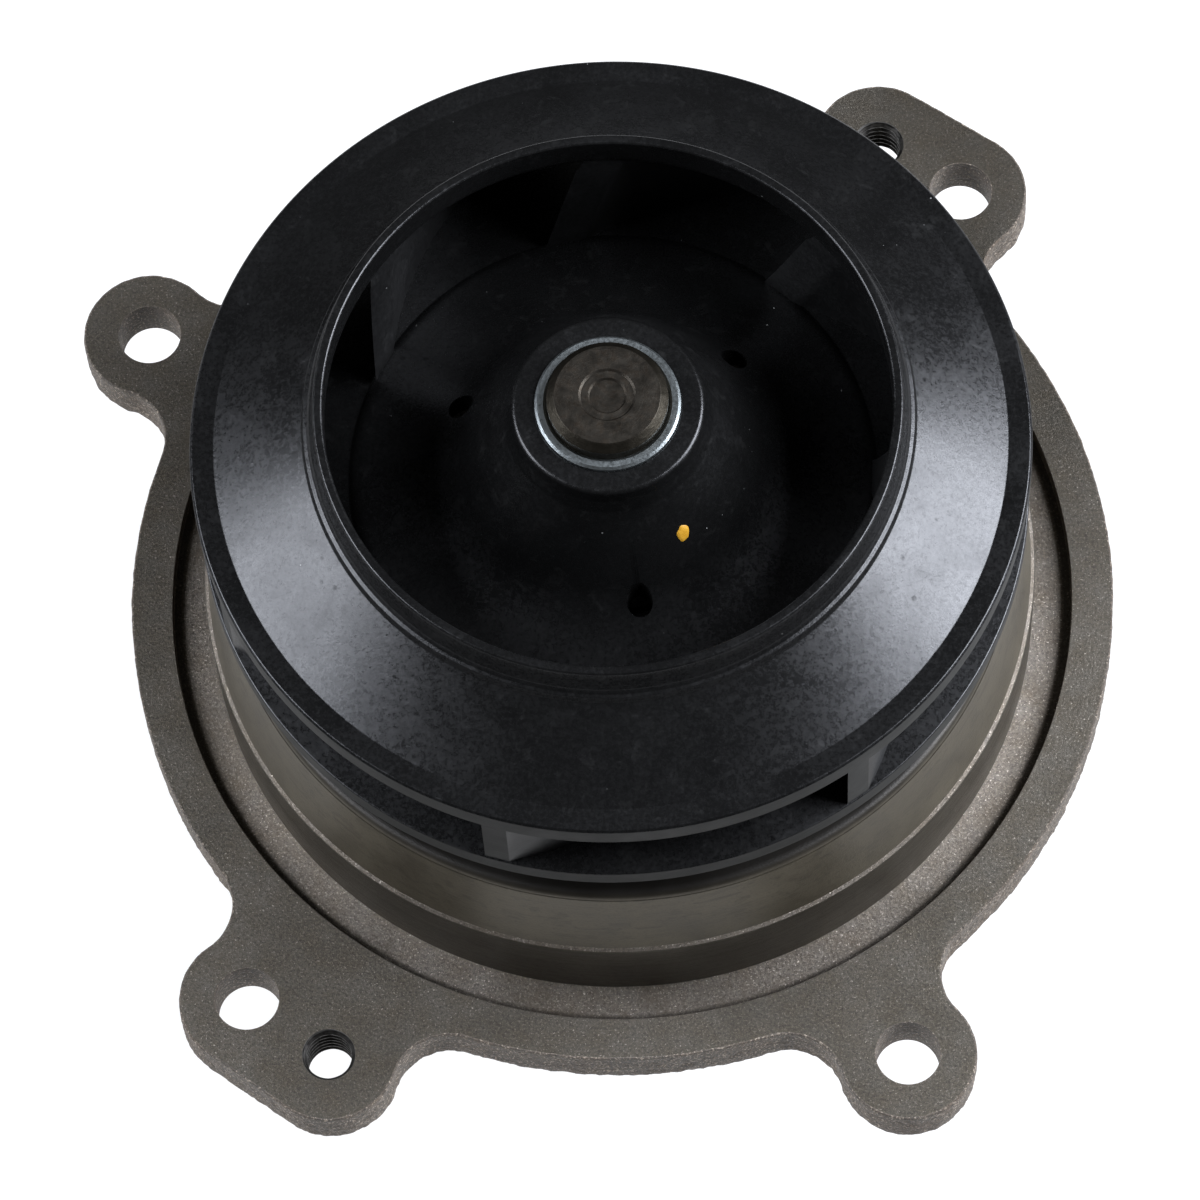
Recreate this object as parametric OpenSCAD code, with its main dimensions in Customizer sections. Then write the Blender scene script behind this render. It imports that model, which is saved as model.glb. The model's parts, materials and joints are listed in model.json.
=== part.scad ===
// Coolant pump of a heavy diesel engine.
// The origin is the centre of the flange's mounting face, on the shaft axis.
// +Z runs along the shaft towards the impeller's inlet.
// Turned pieces are half sections of [radius, height] points, revolved about Z.

/* [Flange] */
// Radius of the round flange plate
flange_r = 85.8; // [84:0.1:88]
// Thickness of the flange plate
flange_t = 9.5; // [8:0.5:12]
// Radius of the circle that the bolt holes lie on
bolt_circle_r = 98; // [97:0.5:100]
// Radius of the rounded end of each lug
lug_r = 11.8; // [11:0.1:13]
// Radius of the hollow fillets between the lugs and the plate
lug_fillet_r = 9.5; // [7:0.5:11]
// Radius of the clear holes for the mounting bolts
bolt_hole_r = 5.5; // [5:0.1:6]
// Tapping radius of the jacking holes
jack_hole_r = 4.25; // [4:0.05:4.5]
// Radius of the outer wall of the seal groove
groove_r = 78.5; // [77:0.1:80]
// Depth of the seal groove
groove_depth = 2.9; // [2:0.1:3.5]

/* [Drum] */
// Radius of the machined pilot that centres the pump
pilot_r = 71.7; // [71:0.1:73]
// Height of the machined pilot above the flange face
pilot_h = 14.5; // [10:0.5:18]
// Radius of the cast snout at its top
snout_r = 68; // [66:0.1:69]
// Height of the drum's top face
drum_h = 31.2; // [30:0.1:32]
// Thickness of the drum's top wall
drum_top_t = 7.2; // [6:0.1:9]
// Radius of the hollow inside the drum, at the open end
cavity_r = 64.5; // [62:0.5:65]
// Number of ribs between the drum and the bearing boss
rib_count = 6; // [4:1:8]
// Thickness of a rib
rib_t = 5; // [4:0.5:7]

/* [Bearing] */
// Outer radius of the bearing's ring
bearing_r = 27.5; // [27:0.1:28]
// Radius of the circle through the centres of the balls and rollers
pitch_r = 17.9; // [17.9:0.1:18]
// Radius of a ball
ball_r = 4.5; // [4.3:0.05:4.5]
// Number of balls
ball_count = 9; // [7:1:10]
// Radius of a roller
roller_r = 3.85; // [3.6:0.05:3.85]
// Number of rollers
roller_count = 11; // [9:1:12]

/* [Shaft] */
// Radius of the shaft inside the bearing
shaft_r = 14; // [14:0.05:14.1]
// Radius of the shaft where the seal and the impeller sit
nose_r = 10; // [9.5:0.1:10.2]
// Radius of the shaft where the drive hub sits
drive_r = 12.5; // [12:0.1:13]
// Height of the shaft's nose end
shaft_top = 84.6; // [83:0.1:87]

/* [Impeller] */
// Radius of the back plate and the shroud
impeller_r = 69.8; // [68:0.1:70]
// Height of the back plate's rear face
disc_z = 43.2; // [42:0.1:44]
// Height of the passages' outlet edge on the back plate
outlet_z = 47.6; // [47:0.1:48]
// Height of the passages' outlet edge on the shroud
shroud_z = 62.8; // [62:0.1:63.5]
// Number of blades
blade_count = 7; // [5:1:9]
// Angle of the blades from the tangent
blade_deg = 27; // [24:1:32]
// Thickness of a blade at its inner edge
blade_root_t = 2.8; // [2:0.1:3]
// Thickness of a blade at its tip
blade_tip_t = 1.9; // [1.5:0.1:2.5]
// Radius of a balance hole
balance_hole_r = 2.15; // [1.5:0.05:2.5]
// Radius of the circle that the balance holes lie on
balance_r = 26.8; // [26:0.1:28]

/* [Pulley] */
// Radius over the pulley's belt ribs
pulley_r = 59; // [57:0.5:60]
// Number of belt ribs
belt_rib_count = 8; // [6:1:8]
// Distance between two belt ribs
belt_rib_pitch = 3.56; // [3.4:0.01:3.6]
// Height of the pulley's rear rim
pulley_z = -78; // [-80:1:-77]

/* [Hidden] */
$fn = 96;

// First and last hole of each lug, in degrees round the bolt circle
LUGS = [[51.7, 61.9], [148.8, 148.8], [229.2, 239.4], [299.7, 299.7]];
BOLT_ANGLES = [51.7, 148.8, 229.2, 299.7];
JACK_ANGLES = [61.9, 239.4];

through = 1;            // how far a cutter runs past the surface that it cuts
boss_r = 34;            // outer radius of the bearing boss at its rear end
boss_z = -54;           // rear end of the bearing boss
bearing_top = 10;       // front end of the bearing's ring
bearing_bottom = -50;   // rear end of the bearing's ring
race_r = 21.8;          // inner radius of the bearing's ring
race_gap = 0.06;        // gap between a ball and its grooves
ball_z = -36;
roller_z = -8;
roller_h = 14;
seal_bore_r = 18.2;
chamber_r = 22;         // drain chamber behind the shaft seal
chamber_top = 16;
weep_z = 13;
weep_r = 2.4;
hub_end_z = 38;         // rear end of the impeller's hub
insert_r = 12;          // outer radius of the steel insert
insert_top = 81.6;
eye_r = 46.7;           // radius of the inlet
neck_top = 82.4;        // front edge of the inlet's neck
web_z = -71;            // rear face of the pulley's web
web_t = 5;
pulley_bore_r = 12.6;
pulley_hole_circle_r = 25;
relief_hole_circle_r = 41;

// ---------- points ----------

function polar(r, a) = [r * cos(a), r * sin(a)];

// Points along a circular arc, at most 3 degrees apart
function arc(centre, r, start, turn) =
    let (steps = ceil(abs(turn) / 3))
    [for (i = [0:steps]) centre + polar(r, start + turn * i / steps)];

// Points along a quadratic curve that starts at a, heads for b and ends at c
function bend(a, b, c, steps = 8) =
    [for (i = [0:steps]) let (t = i / steps) (1 - t) * (1 - t) * a + 2 * t * (1 - t) * b + t * t * c];

// Angle opposite side c in a triangle with sides a, b and c
function corner(a, b, c) = acos((a * a + b * b - c * c) / (2 * a * b));

// ---------- flange outline ----------

// The fillet's centre, the lug's centre and the origin are the corners of one triangle
fillet_centre_r = flange_r + lug_fillet_r;
fillet_to_lug = lug_r + lug_fillet_r;
at_origin = corner(fillet_centre_r, bolt_circle_r, fillet_to_lug);
at_fillet = corner(fillet_centre_r, fillet_to_lug, bolt_circle_r);
at_lug = 180 - corner(bolt_circle_r, fillet_to_lug, fillet_centre_r);

function lug_outline(first, last) =
    let (middle = (first + last) / 2)
    concat(
        arc(polar(fillet_centre_r, first - at_origin), lug_fillet_r, first - at_origin + 180, -at_fillet),
        arc(polar(bolt_circle_r, first), lug_r, first - at_lug, middle - first + at_lug),
        arc(polar(bolt_circle_r, last), lug_r, middle, last + at_lug - middle),
        arc(polar(fillet_centre_r, last + at_origin), lug_fillet_r,
            last + at_origin + 180 + at_fillet, -at_fillet)
    );

// The stretch of round plate from one lug's fillet to the next lug's
function plate_outline(i) =
    let (start = LUGS[i][1] + at_origin)
    let (next = (i + 1) % len(LUGS))
    let (end = LUGS[next][0] - at_origin + (next == 0 ? 360 : 0))
    arc([0, 0], flange_r, start, end - start);

function flange_outline() =
    [for (i = [0:len(LUGS) - 1]) each concat(lug_outline(LUGS[i][0], LUGS[i][1]), plate_outline(i))];

// ---------- housing ----------

// Half section of the drum, its top wall, the bearing boss and the flange's inner ring
drum_section = [
    [bearing_r, boss_z + 0.8], [bearing_r + 0.8, boss_z], [boss_r - 1, boss_z], [boss_r, boss_z + 1],
    [boss_r + 1.5, 20], [boss_r + 5, drum_h - drum_top_t], [cavity_r - 5, drum_h - drum_top_t],
    [cavity_r - 1.5, 20], [cavity_r, -flange_t], [groove_r + 2, -flange_t], [groove_r + 2, 0],
    [groove_r, 0], [groove_r, -groove_depth], [pilot_r, -groove_depth], [pilot_r, pilot_h],
    [pilot_r - 0.7, pilot_h + 0.5], [snout_r, drum_h - 0.9], [snout_r - 0.9, drum_h],
    [seal_bore_r + 0.5, drum_h], [seal_bore_r, drum_h - 0.5], [seal_bore_r, chamber_top],
    [chamber_r, chamber_top], [chamber_r, bearing_top], [bearing_r, bearing_top],
    [bearing_r, bearing_bottom - 0.1], [bearing_r + 1.5, bearing_bottom - 0.1],
    [bearing_r + 1.5, bearing_bottom - 2], [bearing_r, bearing_bottom - 2]
];

module rib() {
    rotate([90, 0, 0])
        translate([0, 0, -rib_t / 2])
            linear_extrude(rib_t)
                polygon([[boss_r - 1, -42], [cavity_r + 1.5, -8], [cavity_r + 1.5, 26], [boss_r - 1, 26]]);
}

module flange_holes(angles, r) {
    for (a = angles)
        translate(concat(polar(bolt_circle_r, a), -flange_t - through))
            cylinder(r = r, h = flange_t + 2 * through);
}

module housing() {
    color("#5a544c")
    difference() {
        union() {
            difference() {
                translate([0, 0, -flange_t]) linear_extrude(flange_t) polygon(flange_outline());
                translate([0, 0, -flange_t - through]) cylinder(r = groove_r + 1, h = flange_t + 2 * through);
            }
            rotate_extrude() polygon(drum_section);
            for (i = [0:rib_count - 1]) rotate([0, 0, i * 360 / rib_count]) rib();
        }
        flange_holes(BOLT_ANGLES, bolt_hole_r);
        flange_holes(JACK_ANGLES, jack_hole_r);
        translate([0, -chamber_r + 2, weep_z]) rotate([90, 0, 0]) cylinder(r = weep_r, h = 20);
    }
}

// ---------- bearing ----------

module ball_groove() {
    rotate_extrude() translate([pitch_r, ball_z]) circle(r = ball_r + race_gap);
}

module bearing_outer_ring() {
    edge = 0.8;
    color("#a9adb2")
    difference() {
        rotate_extrude() polygon([
            [race_r, bearing_bottom], [bearing_r - edge, bearing_bottom], [bearing_r, bearing_bottom + edge],
            [bearing_r, bearing_top - edge], [bearing_r - edge, bearing_top], [race_r, bearing_top]
        ]);
        ball_groove();
    }
}

module bearing_balls() {
    color("#d5d8dc")
    for (i = [0:ball_count - 1])
        rotate([0, 0, i * 360 / ball_count]) translate([pitch_r, 0, ball_z]) sphere(r = ball_r);
}

module ball_cage() {
    pocket_r = ball_r + 0.1;
    color("#c7a24a")
    difference() {
        rotate_extrude() translate([pitch_r - 1.4, ball_z - 5.8]) square([2.8, 11.6]);
        for (i = [0:ball_count - 1])
            rotate([0, 0, i * 360 / ball_count]) translate([pitch_r, 0, ball_z]) sphere(r = pocket_r);
    }
}

module bearing_rollers() {
    color("#d5d8dc")
    for (i = [0:roller_count - 1])
        rotate([0, 0, i * 360 / roller_count])
            translate([pitch_r, 0, roller_z - roller_h / 2]) cylinder(r = roller_r, h = roller_h);
}

module roller_cage() {
    pocket_h = roller_h + 0.2;
    color("#c7a24a")
    difference() {
        rotate_extrude() translate([pitch_r - 1.2, roller_z - 9]) square([2.4, 18]);
        for (i = [0:roller_count - 1])
            rotate([0, 0, i * 360 / roller_count])
                translate([pitch_r, 0, roller_z - pocket_h / 2]) cylinder(r = roller_r + 0.08, h = pocket_h);
    }
}

// A lip seal in the end of the bearing's ring, with its flat face at height z
module lip_seal(z) {
    lip = shaft_r + 0.05;
    color("#26282a")
    rotate_extrude() polygon([
        [lip + 1, z - 0.8], [race_r, z - 0.8], [race_r, z + 0.8], [lip + 1, z + 0.8], [lip, z + 0.3], [lip, z - 0.3]
    ]);
}

module bearing_seal_front() {
    lip_seal(bearing_top - 1.5);
}

module bearing_seal_rear() {
    lip_seal(bearing_bottom + 1.5);
}

module retaining_ring() {
    ring_h = 1.7;
    color("#70747a")
    translate([0, 0, bearing_bottom - 1.9])
    difference() {
        cylinder(r = bearing_r + 1.3, h = ring_h);
        translate([0, 0, -through]) cylinder(r = bearing_r - 3, h = ring_h + 2 * through);
        translate([-5, 0, -through]) cube([10, 2 * bearing_r, ring_h + 2 * through]);
    }
}

// ---------- shaft seal ----------

spring_turns = 4.5;
spring_r = 16;
spring_wire_r = 0.6;
spring_bottom = 18;
spring_top = 28.6;
spring_sides = 6;
spring_steps = 72;

module seal_cup() {
    wall = 0.8;
    color("#b9bcc0")
    rotate_extrude() polygon([
        [13, 16.2], [seal_bore_r, 16.2], [seal_bore_r, drum_h], [21, drum_h], [21, drum_h + wall],
        [seal_bore_r - wall, drum_h + wall], [seal_bore_r - wall, 16.2 + wall], [13, 16.2 + wall]
    ]);
}

module seal_bellows() {
    color("#202224")
    rotate_extrude() polygon([
        [11.2, 17], [15.1, 17], [15.1, 17.8], [13, 19.5], [12.6, 21.5], [14.2, 23.5], [12.6, 25.5],
        [13, 27.5], [14.9, 29], [14.9, 30], [11.2, 30]
    ]);
}

function spring_point(i, j) =
    let (turn = 360 * spring_turns * i / spring_steps)
    let (side = 360 * j / spring_sides)
    let (r = spring_r + spring_wire_r * cos(side))
    let (z = spring_bottom + (spring_top - spring_bottom) * i / spring_steps + spring_wire_r * sin(side))
    [r * cos(turn), r * sin(turn), z];

module seal_spring() {
    last = spring_steps * spring_sides;
    color("#9a9ea3")
    polyhedron(
        points = [for (i = [0:spring_steps]) for (j = [0:spring_sides - 1]) spring_point(i, j)],
        faces = concat(
            [[for (j = [0:spring_sides - 1]) j]],
            [[for (j = [spring_sides - 1:-1:0]) last + j]],
            [for (i = [0:spring_steps - 1]) for (j = [0:spring_sides - 1])
                let (near = i * spring_sides)
                let (next = (j + 1) % spring_sides)
                [near + j, near + spring_sides + j, near + spring_sides + next, near + next]]
        )
    );
}

module carbon_ring() {
    color("#2e2f31")
    rotate_extrude() polygon([
        [10.8, 30], [16.2, 30], [16.2, 32], [14.5, 33], [14.5, 34], [11.8, 34], [10.8, 33.2]
    ]);
}

module mating_ring() {
    color("#8d8f92")
    rotate_extrude() polygon([[11.6, 34.02], [16.5, 34.02], [16.5, 37], [11.6, 37]]);
}

module mating_boot() {
    color("#202224")
    rotate_extrude() polygon([
        [nose_r, 34.6], [11.6, 34.6], [11.6, 37], [15.5, 37], [15.5, hub_end_z], [nose_r, hub_end_z]
    ]);
}

// ---------- shaft ----------

module shaft() {
    chamfer = 1.3;
    recess_r = 4.7;
    recess_depth = 0.35;
    shoulder_top = 11;
    shoulder_bottom = bearing_bottom - 1;
    end_z = -74;
    color("#b3aca2")
    difference() {
        rotate_extrude() polygon([
            [0, end_z], [drive_r - chamfer, end_z], [drive_r, end_z + chamfer], [drive_r, shoulder_bottom],
            [shaft_r, shoulder_bottom], [shaft_r, shoulder_top], [nose_r, shoulder_top],
            [nose_r, shaft_top - chamfer], [nose_r - chamfer, shaft_top], [recess_r, shaft_top],
            [recess_r - recess_depth, shaft_top - recess_depth], [recess_r - 1.5, shaft_top - recess_depth],
            [recess_r - 1.8, shaft_top - 2 * recess_depth], [0, shaft_top - 2 * recess_depth]
        ]);
        ball_groove();
        translate([0, 0, end_z - 0.1]) cylinder(r1 = 3.2, r2 = 0.8, h = 3);
    }
}

module slinger() {
    color("#9ca0a5")
    rotate_extrude() polygon([
        [nose_r, 11], [13.5, 11], [13.5, 12.2], [19.5, 13.6], [19.2, 14.6], [12, 13.2], [nose_r, 13.2]
    ]);
}

// ---------- impeller ----------

eye_root_r = 43;       // ridge between the hub's cone and the blades' inner edges
eye_root_z = 53;

disc_front = concat(
    [[insert_r, 80.7], [15.4, 80.7], [15.9, 80.2], [16.3, 78.2], [17.2, 75.8]],
    bend([25, 62.4], [28.8, 55.9], [eye_root_r - 0.4, eye_root_z + 0.1]),
    [[eye_root_r + 0.4, eye_root_z - 0.4], [eye_root_r + 1.3, eye_root_z - 1.2], [55, 49.9],
     [impeller_r, outlet_z]]
);

disc_rear = [
    [impeller_r, disc_z + 0.5], [impeller_r - 0.5, disc_z], [34, disc_z], [34, 49.5], [28, 53], [24, 57.5],
    [19.5, 66], [17.5, 66], [17.5, disc_z - 1], [16.5, hub_end_z], [insert_r, hub_end_z]
];

// From the outlet to the inlet along the shroud's inner side
shroud_inner = concat(
    [[impeller_r, shroud_z]],
    bend([66.5, shroud_z], [63.9, shroud_z], [61, 65.03], 5),
    bend([49.5, 72.68], [eye_r, 74.55], [eye_r, 77], 6)
);

// Half section of the water's path between the inner edges of the blades and their tips
passage_section = concat(
    [[eye_root_r, eye_root_z - 6], [impeller_r - 0.3, eye_root_z - 6], [impeller_r - 0.3, shroud_z]],
    bend([66.5, shroud_z], [63.9, shroud_z], [61, 65.03], 5),
    [[49.5, 72.68], [47.6, 73.95], [eye_root_r + 0.3, eye_root_z]]
);

blade_from_r = 41;
blade_to_r = 72;
blade_steps = 14;
blade_tip_angle = 253.5;

function blade_radius(i) = blade_from_r + (blade_to_r - blade_from_r) * i / blade_steps;

function blade_point(i, side) =
    let (r = blade_radius(i))
    let (part = (r - eye_root_r) / (impeller_r - eye_root_r))
    let (half_t = (blade_root_t + (blade_tip_t - blade_root_t) * part) / 2)
    let (middle = ln(impeller_r / r) / tan(blade_deg) + side * half_t / (r * sin(blade_deg)))
    polar(r, middle * 180 / PI);

module blade() {
    linear_extrude(90)
        polygon(concat(
            [for (i = [0:blade_steps]) blade_point(i, -1)],
            [for (i = [blade_steps:-1:0]) blade_point(i, 1)]
        ));
}

module impeller_disc() {
    color("#1c1d20")
    difference() {
        union() {
            rotate_extrude() polygon(concat(disc_front, disc_rear));
            for (i = [0:blade_count - 1])
                rotate([0, 0, blade_tip_angle + i * 360 / blade_count])
                    intersection() {
                        blade();
                        rotate_extrude() polygon(passage_section);
                    }
        }
        for (a = [40:120:280])
            rotate([0, 0, a]) translate([balance_r, 0, disc_z]) cylinder(r = balance_hole_r, h = 25);
    }
}

module impeller_shroud() {
    rim_top = 67.3;
    color("#1c1d20")
    rotate_extrude() polygon(concat(
        shroud_inner,
        [[eye_r, neck_top - 0.3], [eye_r + 0.3, neck_top], [eye_r + 1.4, neck_top], [eye_r + 1.7, neck_top - 0.3],
         [48.8, 80], [49.2, 77.9], [49.7, 77.2], [50.3, 77], [50.6, 75.7],
         [65.8, rim_top], [impeller_r - 0.4, rim_top], [impeller_r, rim_top - 0.4]]
    ));
}

module impeller_insert() {
    color("#c9cbcc")
    rotate_extrude() polygon([
        [nose_r, hub_end_z], [insert_r, hub_end_z], [insert_r, insert_top - 0.4],
        [insert_r - 0.4, insert_top], [nose_r + 0.6, insert_top], [nose_r, insert_top - 0.6]
    ]);
}

// ---------- drive ----------

module pulley_holes(r, z, h) {
    for (a = [45:90:315])
        translate(concat(polar(pulley_hole_circle_r, a), z)) cylinder(r = r, h = h);
}

module drive_hub() {
    face_z = web_z + web_t;
    color("#6e7176")
    difference() {
        rotate_extrude() polygon([
            [drive_r, face_z], [32, face_z], [32.5, face_z + 0.5], [32.5, face_z + 5.5], [32, face_z + 6],
            [20, face_z + 6], [18, face_z + 9.5], [drive_r, face_z + 9.5]
        ]);
        pulley_holes(4, face_z - through, 6 + 2 * through);
    }
}

// One belt groove as seen in the half section: out to the rib's tip, down, along the root and back
function belt_groove(i) =
    let (z = pulley_z + 3 + i * belt_rib_pitch)
    let (root = pulley_r - 2.7)
    [[pulley_r, z + 0.5], [root, z + 1.45], [root, z + belt_rib_pitch - 1.45],
     [pulley_r, z + belt_rib_pitch - 0.5]];

pulley_top = pulley_z + 6 + belt_rib_count * belt_rib_pitch;
rim_inner_r = 52;
pulley_section = concat(
    [[rim_inner_r + 1, pulley_z], [pulley_r - 0.6, pulley_z], [pulley_r, pulley_z + 0.6]],
    [for (i = [0:belt_rib_count - 1]) each belt_groove(i)],
    [[pulley_r, pulley_top - 0.6], [pulley_r - 0.6, pulley_top], [rim_inner_r + 1, pulley_top],
     [rim_inner_r, pulley_top - 1], [rim_inner_r, web_z + web_t + 4], [rim_inner_r - 4, web_z + web_t],
     [pulley_bore_r, web_z + web_t], [pulley_bore_r, web_z], [rim_inner_r - 2, web_z],
     [rim_inner_r, web_z - 2], [rim_inner_r, pulley_z + 1]]
);

module pulley() {
    color("#3a3c40")
    difference() {
        rotate_extrude() polygon(pulley_section);
        pulley_holes(4.3, web_z - through, web_t + 2 * through);
        for (a = [0:90:270])
            translate(concat(polar(relief_hole_circle_r, a), web_z - through))
                cylinder(r = 6, h = web_t + 2 * through);
    }
}

module pulley_bolts() {
    washer_h = 1.2;
    head_h = 5;
    color("#a8acb0") {
        pulley_holes(3.95, web_z, web_t + 5.5);
        pulley_holes(8, web_z - washer_h, washer_h);
        for (a = [45:90:315])
            translate(concat(polar(pulley_hole_circle_r, a), web_z - head_h)) cylinder(r = 7, h = head_h, $fn = 6);
    }
}

housing();
bearing_outer_ring();
bearing_balls();
ball_cage();
bearing_rollers();
roller_cage();
bearing_seal_front();
bearing_seal_rear();
retaining_ring();
seal_cup();
seal_bellows();
seal_spring();
carbon_ring();
shaft();
slinger();
mating_ring();
mating_boot();
impeller_disc();
impeller_shroud();
impeller_insert();
drive_hub();
pulley();
pulley_bolts();
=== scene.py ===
import json
import math

import bmesh
import bpy
from mathutils import Matrix, Vector, geometry, noise


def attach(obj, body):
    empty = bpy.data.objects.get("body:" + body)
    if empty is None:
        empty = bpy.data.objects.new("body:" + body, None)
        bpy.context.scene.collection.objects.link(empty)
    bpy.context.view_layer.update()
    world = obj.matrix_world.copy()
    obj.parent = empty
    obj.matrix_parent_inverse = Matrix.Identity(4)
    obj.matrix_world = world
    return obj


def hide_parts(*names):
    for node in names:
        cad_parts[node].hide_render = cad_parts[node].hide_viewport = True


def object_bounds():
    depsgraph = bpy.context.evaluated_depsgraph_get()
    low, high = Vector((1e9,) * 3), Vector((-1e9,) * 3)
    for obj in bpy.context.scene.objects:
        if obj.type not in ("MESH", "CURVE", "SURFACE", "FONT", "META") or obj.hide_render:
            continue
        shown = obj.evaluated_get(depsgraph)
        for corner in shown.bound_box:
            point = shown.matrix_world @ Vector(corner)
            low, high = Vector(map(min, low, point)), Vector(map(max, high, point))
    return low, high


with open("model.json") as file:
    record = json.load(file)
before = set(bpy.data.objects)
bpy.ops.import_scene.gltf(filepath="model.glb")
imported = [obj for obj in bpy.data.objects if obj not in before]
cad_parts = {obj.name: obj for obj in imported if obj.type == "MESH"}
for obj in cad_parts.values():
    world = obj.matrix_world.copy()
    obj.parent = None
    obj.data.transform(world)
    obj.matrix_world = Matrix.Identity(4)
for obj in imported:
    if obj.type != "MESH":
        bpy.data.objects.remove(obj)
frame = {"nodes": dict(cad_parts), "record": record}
cad_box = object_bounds()

# Sizes are millimetres in the row frame until mesh() turns them into metres.
MM = 0.001
MOUNTS = {m["name"]: m for m in frame["record"]["mounts"]}
FLANGE_T = MOUNTS["bolt_hole_1"]["dims"]["length_mm"]
BOLT_R = MOUNTS["bolt_hole_1"]["dims"]["r_mm"]
JACK_R = MOUNTS["jacking_thread_1"]["dims"]["r_mm"]
PILOT_R = MOUNTS["pilot"]["dims"]["r_mm"]

# ---------- flange ----------
FLANGE_R = 85.8
LUG_R = 11.8
FILLET_R = 9.5
GROOVE_R = 78.5
GROOVE_DEPTH = 2.9
THREAD_PITCH = 1.5
THREAD_ROOT_R = JACK_R + 0.2
THREAD_CREST_R = JACK_R - 0.35
OUTLINE_STEP = 0.5
# Radii in metres between which painted shade in the groove's outer corner comes in, and then ends.
GROOVE_SHADE_START = ((GROOVE_R - 1.9) * MM, (GROOVE_R - 1.2) * MM)
GROOVE_SHADE_END = ((GROOVE_R - 0.05) * MM, (GROOVE_R - 0.15) * MM)

# ---------- drum ----------
PILOT_H = 14.5
TAPER_R = PILOT_R - 0.7
TAPER_Z = PILOT_H + 0.5
SNOUT_R = 68.0
DRUM_H = 31.2
TOP_WALL_R = 40.0
CAVITY_R = 64.5
BOSS_R = 34.0
BOSS_Z = -54.0
SEAL_BORE_R = 18.2
DRAIN_R = 22.0
DRAIN_TOP = 16.0
DRAIN_BOTTOM = 10.0
BEARING_R = 27.5
RING_GROOVE = (-50.1, -52.0)
RING_GROOVE_DEPTH = 1.5
WALL_Z = (19.0, 24.0)
RIB_COUNT = 6
RIB_T = 5.0

# ---------- impeller ----------
IMPELLER_R = 69.8
DISC_Z = 43.2
OUTLET_Z = 47.6
SHROUD_Z = 62.8
RIM_TOP = 67.3
EYE_R = 46.7
NECK_TOP = 82.4
HUB_BORE_R = 12.0
HUB_END_Z = 38.0
HUB_TOP = 80.7
BLADES = 7
BLADE_DEG = 27.0
BLADE_TIP_ANGLE = 253.5
BLADE_ROOT_T = 2.8
BLADE_TIP_T = 1.9
BLADE_INNER_R = 43.3
BLADE_INNER_SLOPE = 4.2
BALANCE_R = 26.8
BALANCE_HOLE_R = 2.15
BALANCE_ANGLES = (40, 160, 280)

# Radii and heights in metres where the shaft's bevel starts and where its bright hidden length does.
BEVEL_START = (0.0086, 0.0089)
HIDDEN_FROM = (0.07, 0.068)

SHARP_DEG = 32
WELD = 0.002


# ---------- geometry helpers ----------

def polar(r, degrees):
    a = math.radians(degrees)
    return Vector((r * math.cos(a), r * math.sin(a)))


def bend(a, b, c, steps=8):
    """Points along a quadratic curve from a, heading for b, to c."""
    return [tuple((1 - t) ** 2 * p + 2 * t * (1 - t) * q + t * t * r for p, q, r in zip(a, b, c))
            for t in (i / steps for i in range(steps + 1))]


def softened(points, cut, closed=True, steps=3):
    """The section with each corner turned into a small curve that starts cut away from it."""
    result = []
    count = len(points)
    for i, p in enumerate(points):
        if not closed and i in (0, count - 1):
            result.append(tuple(p))
            continue
        here = Vector(p)
        before, after = Vector(points[i - 1]) - here, Vector(points[(i + 1) % count]) - here
        reach = min(cut, before.length * 0.45, after.length * 0.45)
        if reach < 0.01 or before.angle(-after) < math.radians(8):
            result.append(tuple(p))
        else:
            result += bend(tuple(here + before.normalized() * reach), tuple(p),
                           tuple(here + after.normalized() * reach), steps)
    return result


def height_at(profile, r):
    """Height of a [radius, height] profile at radius r."""
    for (r0, z0), (r1, z1) in zip(profile, profile[1:]):
        if min(r0, r1) <= r <= max(r0, r1) and r0 != r1:
            return z0 + (z1 - z0) * (r - r0) / (r1 - r0)
    return profile[-1][1] if abs(r - profile[-1][0]) < abs(r - profile[0][0]) else profile[0][1]


def grain(x, y, z, size, seed=0.0):
    return noise.noise(Vector((x / size + seed, y / size, z / size)))


# ---------- mesh helpers ----------

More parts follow.
